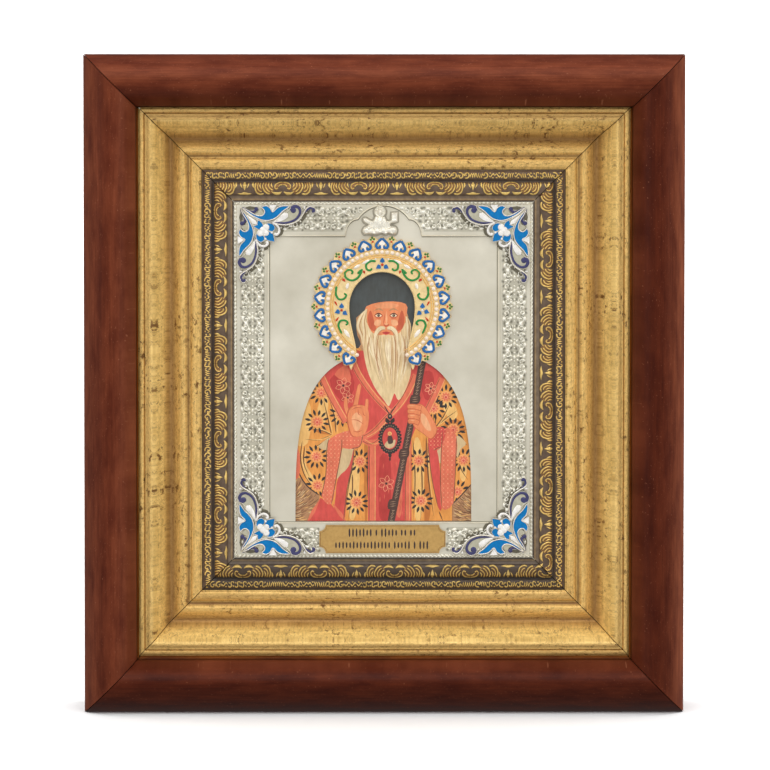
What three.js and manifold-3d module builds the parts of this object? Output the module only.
// A framed icon panel: a painted board under a silvered cover with enamelled ornament, in three nested
// mitred mouldings. Millimetres, +Z up. It stands on its lower edge with its front facing -Y, and the
// origin is the middle of its underside. "Lift" is the distance of a point in front of the back plane.
import * as THREE from "three";
import { mergeVertices } from "three/addons/utils/BufferGeometryUtils.js";
import Module from "manifold-3d";

const wasm = await Module();
wasm.setup();

// Driving dimensions of the frame
const OUTER = { w: 242, h: 265.5 }; // outer size of the wooden frame
const DEPTH = 38; // back plane to the crest of the wooden frame
const GAP = 0.3; // clearance between pieces that touch
const MITRE_PULL = 0.2; // each rail is short of the mitre plane by this much, along itself
const WOOD_W = 21; // visible width of the wooden moulding
const GILT_W = 24.8; // visible width of the gilt moulding
const SLIP_W = 12.8; // width of the dark ornamented slip
const SIDE_PLAY = 0.9; // gilt frame to wooden frame, at the left and right
const BOTTOM_PLAY = 1.5; // the same at the bottom, where a dark line shows
const TOP_PLAY = 0.3;

// Lifts of the layers behind the mouldings
const LEDGE = { back: 4.5, front: 6.6, reach: 8 }; // tongue of the wooden rail that carries the gilt frame
const GILT_LEDGE = { back: LEDGE.front + GAP, front: 9, reach: 5.6 };
const BACK_BOARD = { back: 1.6, thick: 2.6 };
const BOARD = { back: 4.5, front: 10.8 }; // the painted board
const COVER = { back: 11.1, field: 11.6, band: 12.2, rope: 12.55 }; // the silvered cover
const UNDER_SLIP = 0.8; // how far board and cover reach under the slip

// Sizes that follow from those
const INSERT = {
  w: OUTER.w - 2 * (WOOD_W + SIDE_PLAY),
  h: OUTER.h - 2 * WOOD_W - TOP_PLAY - BOTTOM_PLAY,
}; // outer size of the gilt frame
const SLIP_IN = GILT_W + GAP; // the slip's outer edge, inwards from the gilt frame's
const SLIP = { w: INSERT.w - 2 * SLIP_IN, h: INSERT.h - 2 * SLIP_IN };
const SIGHT = { w: SLIP.w - 2 * SLIP_W, h: SLIP.h - 2 * SLIP_W };
const MIDDLE = WOOD_W + BOTTOM_PLAY + INSERT.h / 2; // height of the insert's centre
const SIGHT_Z = MIDDLE - SIGHT.h / 2; // the bottom of what shows inside the slip

// The cover's layout, with heights above the bottom of the sight opening
const SIDE_BAND = 14.6; // width of the chased bands at the left and right
const LOWER_BAND = 13.9; // top of the bottom band
const UPPER_BAND = 131.6; // lower edge of the top band
const ARCH = { r: 12.8, lobeX: 10.4, lobeRx: 5.2, lobeRz: 6.9 }; // the opening in the top band
const ROPE_R = 0.65;
const ROPE_LAP = 0.1; // the rope's four runs pass a little into each other at the corners
const PICTURE = { base: 15, half: 36, rise: 68.7, hollow: 3.4, power: 0.4 }; // the half figure's outline
const HALO = { x: -0.6, z: 103, tip: 28.2, rim: 26.3, beads: 22.2, hearts: 22, shown: 9 };
const HEAD = { r: 13.5, chin: 10.4, drop: 17, foot: 21.4 }; // the head's opening, about the halo's centre

// Materials
const MATERIALS = {
  mahogany: surface(0x6a2c18, 0.35, 0),
  gilding: surface(0xc9a15c, 0.42, 0.7),
  slip: surface(0x5a4a38, 0.5, 0.2),
  hardboard: surface(0x7a5a3c, 0.85, 0),
  panel: surface(0xb98a58, 0.7, 0),
  silver: surface(0xc9c6ba, 0.32, 0.9),
  gilt: surface(0xe3b45e, 0.3, 0.9),
  enamel: surface(0x0d74c0, 0.15, 0.1),
  plate: surface(0xc0924c, 0.35, 0.8),
  steel: surface(0xa9a9a4, 0.4, 0.9),
};

function surface(color, roughness, metalness) {
  return new THREE.MeshStandardMaterial({ color, roughness, metalness });
}

// Solids

// A closed three.js geometry as a solid that can be joined and cut.
function solid(geometry) {
  const bare = geometry.clone();
  bare.deleteAttribute("normal");
  bare.deleteAttribute("uv");
  const merged = mergeVertices(bare, 1e-4);
  return new wasm.Manifold(
    new wasm.Mesh({
      numProp: 3,
      vertProperties: new Float32Array(merged.attributes.position.array),
      triVerts: new Uint32Array(merged.index.array),
    }),
  );
}

function geometryOf(made) {
  const mesh = made.getMesh();
  const geometry = new THREE.BufferGeometry();
  geometry.setAttribute("position", new THREE.BufferAttribute(mesh.vertProperties, 3));
  geometry.setIndex(new THREE.BufferAttribute(mesh.triVerts, 1));
  geometry.computeVertexNormals();
  return geometry;
}

function join(solids) {
  return solids.reduce((all, next) => all.add(next));
}

function meshOf(name, made, material) {
  const mesh = new THREE.Mesh(geometryOf(made), material);
  mesh.name = name;
  return mesh;
}

// A flat outline in the front view, as thick as the stretch between two lifts.
function slab(shape, back, front, curveSegments = 12) {
  const geometry = new THREE.ExtrudeGeometry(shape, {
    depth: front - back,
    bevelEnabled: false,
    curveSegments,
  });
  geometry.rotateX(Math.PI / 2);
  geometry.translate(0, DEPTH / 2 - back, 0);
  return solid(geometry);
}

function rectangle(left, bottom, right, top) {
  const shape = new THREE.Shape();
  shape.moveTo(left, bottom);
  shape.lineTo(right, bottom);
  shape.lineTo(right, top);
  shape.lineTo(left, top);
  shape.closePath();
  return shape;
}

function disc(x, z, rx, rz = rx) {
  const shape = new THREE.Shape();
  shape.absellipse(x, z, rx, rz, 0, 2 * Math.PI);
  return shape;
}

function outline(points) {
  return new THREE.Shape(points.map(([x, z]) => new THREE.Vector2(x, z)));
}

// A low boss: an eight-faced stone standing on the lift given, turned in the front view.
function boss(x, z, long, wide, lift, height, turn) {
  const geometry = new THREE.OctahedronGeometry(1, 0);
  geometry.scale(long / 2, height, wide / 2);
  geometry.rotateY(-turn);
  geometry.translate(x, DEPTH / 2 - lift, z);
  return solid(geometry);
}

function ball(x, lift, z, rx, ry, rz, around = 10, down = 7) {
  const geometry = new THREE.SphereGeometry(1, around, down);
  geometry.scale(rx, ry, rz);
  geometry.translate(x, DEPTH / 2 - lift, z);
  return solid(geometry);
}

// Values from a to b in equal steps, both ends included.
function steps(count, a, b) {
  return Array.from({ length: count + 1 }, (_, i) => a + ((b - a) * i) / count);
}

// Moulding sections: points [inwards from the rail's outer edge, lift]

function woodSection() {
  const crest = 12; // how far inwards the highest line runs
  const outerDrop = 9;
  const innerDrop = 8.5;
  const front = steps(26, 0, WOOD_W).map((s) =>
    s < crest
      ? [s, DEPTH - outerDrop * Math.pow((crest - s) / crest, 2.6)]
      : [s, DEPTH - innerDrop * Math.pow((s - crest) / (WOOD_W - crest), 2.2)],
  );
  return [
    [WOOD_W, 0],
    [0, 0],
    ...front,
    [WOOD_W, LEDGE.front],
    [WOOD_W + LEDGE.reach, LEDGE.front],
    [WOOD_W + LEDGE.reach, LEDGE.back],
    [WOOD_W, LEDGE.back],
  ].filter(([s, lift], i, all) => i === 0 || Math.hypot(s - all[i - 1][0], lift - all[i - 1][1]) > 1e-6);
}

// Half a cosine wave from one height to another, as points for the stretch between two places.
function wave(from, to, liftFrom, liftTo, count) {
  return steps(count, 0, 1).map((t) => [
    from + (to - from) * t,
    liftTo + ((liftFrom - liftTo) * (1 + Math.cos(Math.PI * t))) / 2,
  ]);
}

// A round bead standing on the line between two lifts, as points.
function bead(from, to, base, height, count) {
  return steps(count, 0, Math.PI).map((a) => [
    (from + to) / 2 - ((to - from) / 2) * Math.cos(a),
    base + height * Math.sin(a),
  ]);
}

function giltSection() {
  const lip = 26.6;
  const crest = 28.2;
  const valley = 13;
  const roll = 14.3;
  const groove = 12.8;
  const edge = 12.8;
  return [
    [GILT_W, GILT_LEDGE.back],
    [0, GILT_LEDGE.back],
    [0, lip],
    ...bead(0.1, 2.3, lip, 0.7, 6),
    ...wave(2.7, 4.8, lip + 0.9, crest, 3),
    ...wave(4.8, 12.6, crest, valley, 14).slice(1),
    ...wave(12.6, 17.2, valley, roll, 7).slice(1),
    ...wave(17.7, 19.2, roll, groove + 0.3, 4),
    [19.6, groove],
    ...bead(20.3, 24.4, groove + 0.1, 1, 8),
    [GILT_W, edge],
    [GILT_W, GILT_LEDGE.front],
    [GILT_W + GILT_LEDGE.reach, GILT_LEDGE.front],
    [GILT_W + GILT_LEDGE.reach, GILT_LEDGE.back],
  ];
}

function slipSection() {
  const edge = 13;
  const floor = 12.8;
  const lipUnder = COVER.field + GAP;
  const lipTop = 12.3;
  return [
    [SLIP_W - UNDER_SLIP - GAP, GILT_LEDGE.front + GAP],
    [0, GILT_LEDGE.front + GAP],
    [0, edge],
    ...bead(0.4, 3.9, edge, 0.8, 8),
    [4.2, floor],
    [4.7, floor],
    ...bead(4.9, 10.3, floor + 0.1, 1.5, 12),
    [10.7, floor - 0.2],
    [SLIP_W, lipTop],
    [SLIP_W, lipUnder],
    [SLIP_W - UNDER_SLIP - GAP, lipUnder],
  ];
}

// Mitred frames

const SIDES = ["bottom", "right", "top", "left"];

// The lower rail of a frame: its section drawn out along X, each end cut back by its own distance inwards.
function railGeometry(section, long, across) {
  const geometry = new THREE.ExtrudeGeometry(outline(section), { depth: 1, bevelEnabled: false });
  const place = geometry.attributes.position;
  for (let i = 0; i < place.count; i++) {
    const inwards = place.getX(i);
    const end = long / 2 - inwards - MITRE_PULL;
    place.setXYZ(i, place.getZ(i) > 0.5 ? end : -end, DEPTH / 2 - place.getY(i), inwards - across / 2);
  }
  geometry.computeVertexNormals();
  return geometry;
}

function mitredFrame(name, section, size, centre, material) {
  const group = new THREE.Group();
  group.position.z = centre;
  SIDES.forEach((side, i) => {
    const [long, across] = i % 2 ? [size.h, size.w] : [size.w, size.h];
    const rail = new THREE.Mesh(railGeometry(section, long, across), material);
    rail.name = name + "_rail_" + side;
    rail.rotation.y = (-i * Math.PI) / 2;
    group.add(rail);
  });
  return group;
}

// Boards

function board(name, size, centre, back, front, material) {
  const shape = rectangle(-size.w / 2, centre - size.h / 2, size.w / 2, centre + size.h / 2);
  return meshOf(name, slab(shape, back, front), material);
}

// The hanging plate on the back board: a flat steel strip with a keyhole.
function hangerPlate() {
  const width = 46;
  const height = 13;
  const z = OUTER.h - WOOD_W - 18;
  const hole = { r: 3.6, slot: 1.7, rise: 3.4 };
  const front = BACK_BOARD.back - GAP;
  const plate = slab(rectangle(-width / 2, z - height / 2, width / 2, z + height / 2), GAP, front);
  const keyhole = join([
    slab(disc(0, z - 1.4, hole.r), 0, front + 1, 10),
    slab(rectangle(-hole.slot, z - 1.4, hole.slot, z - 1.4 + hole.r + hole.rise), 0, front + 1),
  ]);
  return meshOf("hanging_plate", plate.subtract(keyhole), MATERIALS.steel);
}

// The silvered cover

// Half the width of the figure at a height above the picture's base.
function halfWidth(height) {
  const left = Math.max(0, 1 - Math.pow(height / PICTURE.rise, PICTURE.hollow));
  return PICTURE.half * Math.pow(left, PICTURE.power);
}

function bodyOutline() {
  const base = SIGHT_Z + PICTURE.base;
  const right = steps(18, 0, Math.PI / 2).map((a) => {
    const height = PICTURE.rise * Math.sin(a);
    return [halfWidth(height), base + height];
  });
  const left = right
    .slice(0, -1)
    .map(([x, z]) => [-x, z])
    .reverse();
  return outline([...right, ...left]);
}

// The head's opening: round above, drawn in towards the chin, then straight down to the shoulders.
function headOutline(grow) {
  const x = HALO.x;
  const z = SIGHT_Z + HALO.z;
  const top = steps(14, 0, Math.PI).map((a) => [
    x + (HEAD.r + grow) * Math.cos(a),
    z + (HEAD.r + grow) * Math.sin(a),
  ]);
  return outline([
    ...top,
    [x - HEAD.chin - grow, z - HEAD.drop],
    [x - HEAD.chin - grow, z - HEAD.foot],
    [x + HEAD.chin + grow, z - HEAD.foot],
    [x + HEAD.chin + grow, z - HEAD.drop],
  ]);
}

// The raised border's window: a rectangle whose top opens into a cusped arch.
function windowSolid(back, front) {
  const side = SIGHT.w / 2 - SIDE_BAND;
  const top = SIGHT_Z + UPPER_BAND;
  const lobe = (x) => slab(disc(x, top, ARCH.lobeRx, ARCH.lobeRz), back, front, 10);
  return join([
    slab(rectangle(-side, SIGHT_Z + LOWER_BAND, side, top), back, front),
    slab(disc(0, top, ARCH.r), back, front, 14),
    lobe(-ARCH.lobeX),
    lobe(ARCH.lobeX),
  ]);
}

// A row of leaf bosses swinging either side of a line, as chased scrollwork does.
function leafRow(from, to, count, swing) {
  return steps(count, 0, 1).map((t, i) => {
    const x = from[0] + (to[0] - from[0]) * t;
    const z = from[1] + (to[1] - from[1]) * t;
    const along = Math.atan2(to[1] - from[1], to[0] - from[0]);
    const side = i % 2 ? 1 : -1;
    return boss(
      x - side * swing * Math.sin(along),
      z + side * swing * Math.cos(along),
      5.2,
      2.4,
      COVER.band,
      0.7,
      along + side * 0.9,
    );
  });
}

function coverPlate() {
  const left = -SIGHT.w / 2;
  const right = SIGHT.w / 2;
  const bottom = SIGHT_Z;
  const top = SIGHT_Z + SIGHT.h;
  const sheet = slab(
    rectangle(left - UNDER_SLIP, bottom - UNDER_SLIP, right + UNDER_SLIP, top + UNDER_SLIP),
    COVER.back,
    COVER.field,
  );
  const inset = 2 * ROPE_R;
  const inner = rectangle(left + inset, bottom + inset, right - inset, top - inset);
  const band = slab(inner, COVER.back, COVER.band);
  const raised = band.subtract(windowSolid(COVER.field, COVER.band + 1));
  const ropeSection = bead(0.05, 2 * ROPE_R - 0.05, COVER.field - 0.2, COVER.rope - COVER.field + 0.2, 6);
  const ropes = SIDES.map((_, i) => {
    const [long, across] = i % 2 ? [SIGHT.h, SIGHT.w] : [SIGHT.w, SIGHT.h];
    const bar = railGeometry(ropeSection, long + 2 * MITRE_PULL + ROPE_LAP, across);
    bar.rotateY((-i * Math.PI) / 2);
    bar.translate(0, 0, MIDDLE);
    return solid(bar);
  });
  const sideX = SIGHT.w / 2 - SIDE_BAND / 2 - 0.4;
  const leafTop = SIGHT_Z + UPPER_BAND - 22;
  const leafFoot = SIGHT_Z + 40;
  const leaves = [-sideX, sideX].flatMap((x) => leafRow([x, leafFoot], [x, leafTop], 15, 2.4));
  const topRow = SIGHT_Z + (UPPER_BAND + SIGHT.h) / 2 - 1;
  const short = [-1, 1].flatMap((side) => leafRow([side * 18, topRow], [side * 24, topRow], 2, 2));
  const opening = slab(bodyOutline(), COVER.back - 1, COVER.band + 1).add(
    slab(headOutline(0.6), COVER.back - 1, COVER.band + 1),
  );
  return join([sheet, raised, ...ropes, ...leaves, ...short]).subtract(opening);
}

// Ornaments on the cover

// The halo: a scalloped crescent around the head, with a ring of beads and a heart on each scallop.
function halo() {
  const back = COVER.field + GAP;
  const face = back + 0.7;
  const { x, rim, tip, hearts, shown } = HALO;
  const z = SIGHT_Z + HALO.z;
  const pitch = (2 * Math.PI) / hearts;
  const span = (shown + 0.45) * pitch;
  const at = (angle, r) => [x + r * Math.sin(angle), z + r * Math.cos(angle)];
  const edge = steps(8 * (2 * shown + 1), -span, span).map((a) =>
    at(a, rim + (tip - rim) * Math.abs(Math.cos((a * hearts) / 2))),
  );
  const crescent = slab(outline([...edge, [x, z - 6]].reverse()), back, face).subtract(
    slab(headOutline(0), back - 1, face + 1),
  );
  const heartBosses = steps(2 * shown, -shown, shown).map((k) => {
    const [hx, hz] = at(k * pitch, rim - 0.6);
    return boss(hx, hz, 4.2, 4.2, face, 0.35, Math.PI / 2 - k * pitch);
  });
  const beadCount = 3 * (2 * shown);
  const beads = steps(beadCount, -shown * pitch, shown * pitch).map((a) => {
    const [bx, bz] = at(a, HALO.beads);
    return boss(bx, bz, 1.7, 1.7, face, 0.6, a);
  });
  return join([crescent, ...heartBosses, ...beads]);
}

// Outlines of a corner ornament's parts, measured from its corner. The leaf is drawn again in the diagonal.
const LEAF = [
  [0.5, 0.2], [6, 4.2], [10.5, 5], [14, 3.6], [20, 6.6], [25.5, 4.6], [30.4, 2.6],
  [29.6, 0.6], [26, 1.6], [22, -0.6], [18, -0.8], [10, -0.9], [4, -0.8],
];
const FLOWER = [
  [1, 1], [4.5, 7.2], [5.2, 11.4], [8, 12.4], [9.2, 10.6], [13.2, 13.2],
  [10.6, 9.2], [12.4, 8], [11.4, 5.2], [7.2, 4.5],
];

// A corner ornament, pointing into the panel from the corner that signX and signZ name.
function cornerOrnament(name, signX, signZ) {
  const back = COVER.band + GAP;
  const face = back + 1;
  const inset = 3.6;
  const x = signX * (SIGHT.w / 2 - inset);
  const z = MIDDLE + signZ * (SIGHT.h / 2 - inset);
  const part = (points, swap, top) => {
    const turned = points.map(([u, v]) => (swap ? [v, u] : [u, v]));
    const placed = turned.map(([u, v]) => [x - signX * u, z - signZ * v]);
    return slab(outline(placed), back, top);
  };
  const made = join([part(LEAF, false, face), part(LEAF, true, face), part(FLOWER, false, face + 0.3)]);
  const lead = [9, 15.5, 23].flatMap((u) => [
    boss(x - signX * u, z - signZ * 1.7, 5, 2.6, face, 0.35, 0),
    boss(x - signX * 1.7, z - signZ * u, 2.6, 5, face, 0.35, 0),
  ]);
  return meshOf(name, join([made, ...lead]), MATERIALS.enamel);
}

// The small cast figure above the halo: a half figure with a book, rising from a bank of cloud.
function castFigure() {
  const back = COVER.field + GAP;
  const x = -1.1;
  const foot = SIGHT_Z + UPPER_BAND;
  const reliefs = [
    { points: [[-6, 0.9], [6, 0.9], [6, 2.6], [-6, 2.6]], height: 0.8 },
    { points: [[-3.6, 2.2], [3.6, 2.2], [2.2, 8.2], [-2.2, 8.2]], height: 1.5 },
    { points: [[-6.4, 6.9], [-6, 5.9], [-2.4, 4.1], [-2, 6.4], [-4.6, 6.2]], height: 1.1 },
    { points: [[2, 4.1], [5.3, 5.2], [5.2, 6.6], [2, 6.4]], height: 1.1 },
    { points: [[4.4, 5.9], [7, 5.9], [7, 9.5], [4.4, 9.5]], height: 1.3 },
  ];
  const parts = reliefs.map(({ points, height }) =>
    slab(outline(points.map(([dx, dz]) => [x + dx, foot + dz])), back, back + height),
  );
  const nimbus = slab(disc(x, foot + 10, 2.35), back, back + 0.6, 10);
  const head = ball(x, back + 1, foot + 9.6, 1.1, 1.1, 1.45);
  const puffs = steps(6, -6.1, 6.1).map((dx, i) =>
    ball(x + dx, back + 1.1, foot + 1.5 + 0.5 * (i % 2), 1.7, 1.3, 1.6, 8, 6),
  );
  const behind = slab(rectangle(x - 20, foot - 10, x + 20, foot + 30), back - 5, back);
  return join([...parts, nimbus, head, ...puffs]).subtract(behind);
}

// The name plate: a strip with scooped corners and a fine raised border.
function namePlate() {
  const half = { w: 25.4, h: 5.7 };
  const scoop = 2.2;
  const rim = 0.45;
  const z = SIGHT_Z + 7.4;
  const back = COVER.band + GAP;
  const front = back + 0.6;
  const scoops = (grow) =>
    join(
      [-1, 1].flatMap((sideX) =>
        [-1, 1].map((sideZ) =>
          slab(disc(sideX * half.w, z + sideZ * half.h, scoop + grow), back - 1, front + 1, 8),
        ),
      ),
    );
  const strip = (inset, from, to) =>
    slab(rectangle(-half.w + inset, z - half.h + inset, half.w - inset, z + half.h - inset), from, to);
  const plate = strip(0, back, front).subtract(scoops(0));
  const sunk = strip(rim, front - 0.15, front + 0.5).subtract(scoops(rim));
  return plate.subtract(sunk);
}

// The whole panel
const panel = new THREE.Group();
panel.add(
  mitredFrame("frame", woodSection(), OUTER, OUTER.h / 2, MATERIALS.mahogany),
  mitredFrame("gilt", giltSection(), INSERT, MIDDLE, MATERIALS.gilding),
  mitredFrame("slip", slipSection(), SLIP, MIDDLE, MATERIALS.slip),
  board(
    "back_board",
    { w: OUTER.w - 2 * (WOOD_W + GAP), h: OUTER.h - 2 * (WOOD_W + GAP) },
    OUTER.h / 2,
    BACK_BOARD.back,
    BACK_BOARD.back + BACK_BOARD.thick,
    MATERIALS.hardboard,
  ),
  board(
    "icon_board",
    { w: SIGHT.w + 2 * UNDER_SLIP, h: SIGHT.h + 2 * UNDER_SLIP },
    MIDDLE,
    BOARD.back,
    BOARD.front,
    MATERIALS.panel,
  ),
  hangerPlate(),
  meshOf("silver_cover", coverPlate(), MATERIALS.silver),
  meshOf("halo", halo(), MATERIALS.gilt),
  cornerOrnament("corner_top_left", -1, 1),
  cornerOrnament("corner_top_right", 1, 1),
  cornerOrnament("corner_bottom_left", -1, -1),
  cornerOrnament("corner_bottom_right", 1, -1),
  meshOf("cast_figure", castFigure(), MATERIALS.silver),
  meshOf("name_plate", namePlate(), MATERIALS.plate),
);

export default panel;
